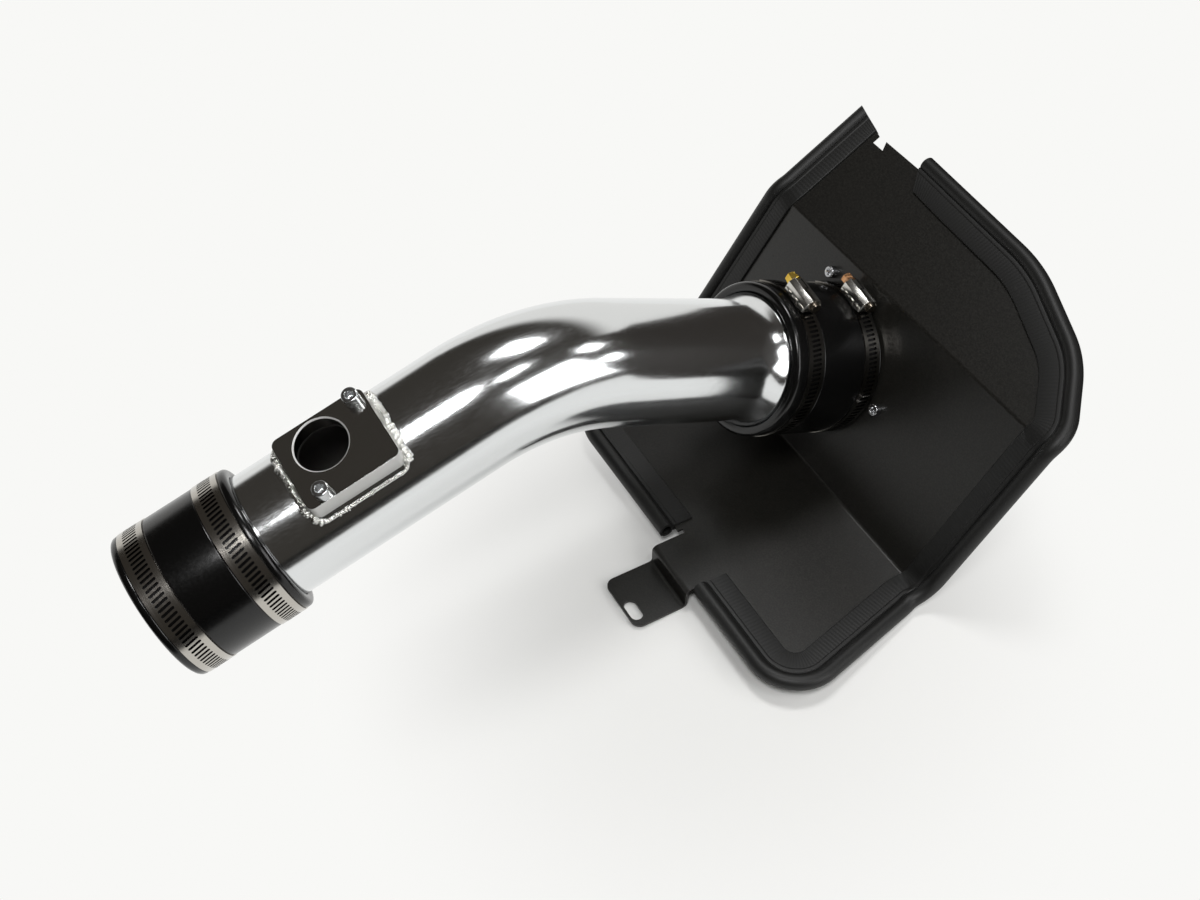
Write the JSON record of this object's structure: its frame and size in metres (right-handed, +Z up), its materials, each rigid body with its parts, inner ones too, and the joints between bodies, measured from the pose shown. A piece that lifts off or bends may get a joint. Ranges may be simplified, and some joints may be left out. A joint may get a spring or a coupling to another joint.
{
  "type": "cold air intake pipe",
  "caption": "Bent polished intake tube with a sensor flange, clamped hose couplers and a folded heat shield with bulb edge trim that stands on the shield.",
  "frame": {"origin": "middle of the part's footprint, on the floor that the shield stands on", "axes": "+Y from the throttle end to the filter end, +X along the folds of the shield, +Z up"},
  "size_m": [0.2858, 0.5154, 0.1912],
  "materials": {
    "polished_tube": "mirror polished",
    "machined_flange": "bright machined",
    "weld_bead": "rippled weld",
    "plated_screw": "zinc plated",
    "silicone": "smooth, slightly glossy",
    "black_adapter": "black anodised",
    "black_screw": "plated",
    "black_coat": "fine matt powder coat",
    "trim_rubber": "satin",
    "band_steel": "bright stainless",
    "housing_steel": "bright stainless",
    "yellow_zinc": "yellow passivated zinc"
  },
  "bodies": {
    "root": {"adapter_screws": "black_screw", "filter_adapter": "black_adapter", "filter_coupler": "silicone", "filter_pipe_clamp_band": "band_steel", "filter_pipe_clamp_housing": "housing_steel", "filter_pipe_clamp_screw": "yellow_zinc", "filter_spigot_clamp_band": "band_steel", "filter_spigot_clamp_housing": "housing_steel", "filter_spigot_clamp_screw": "yellow_zinc", "flange_weld": "weld_bead", "heat_shield": "black_coat", "intake_pipe": "polished_tube", "left_edge_trim": "trim_rubber", "right_edge_trim": "trim_rubber", "sensor_flange": "machined_flange", "sensor_screws": "plated_screw", "throttle_coupler": "silicone", "throttle_end_clamp_band": "band_steel", "throttle_end_clamp_housing": "housing_steel", "throttle_end_clamp_screw": "yellow_zinc", "throttle_pipe_clamp_band": "band_steel", "throttle_pipe_clamp_housing": "housing_steel", "throttle_pipe_clamp_screw": "yellow_zinc"}
  },
  "joints": []
}
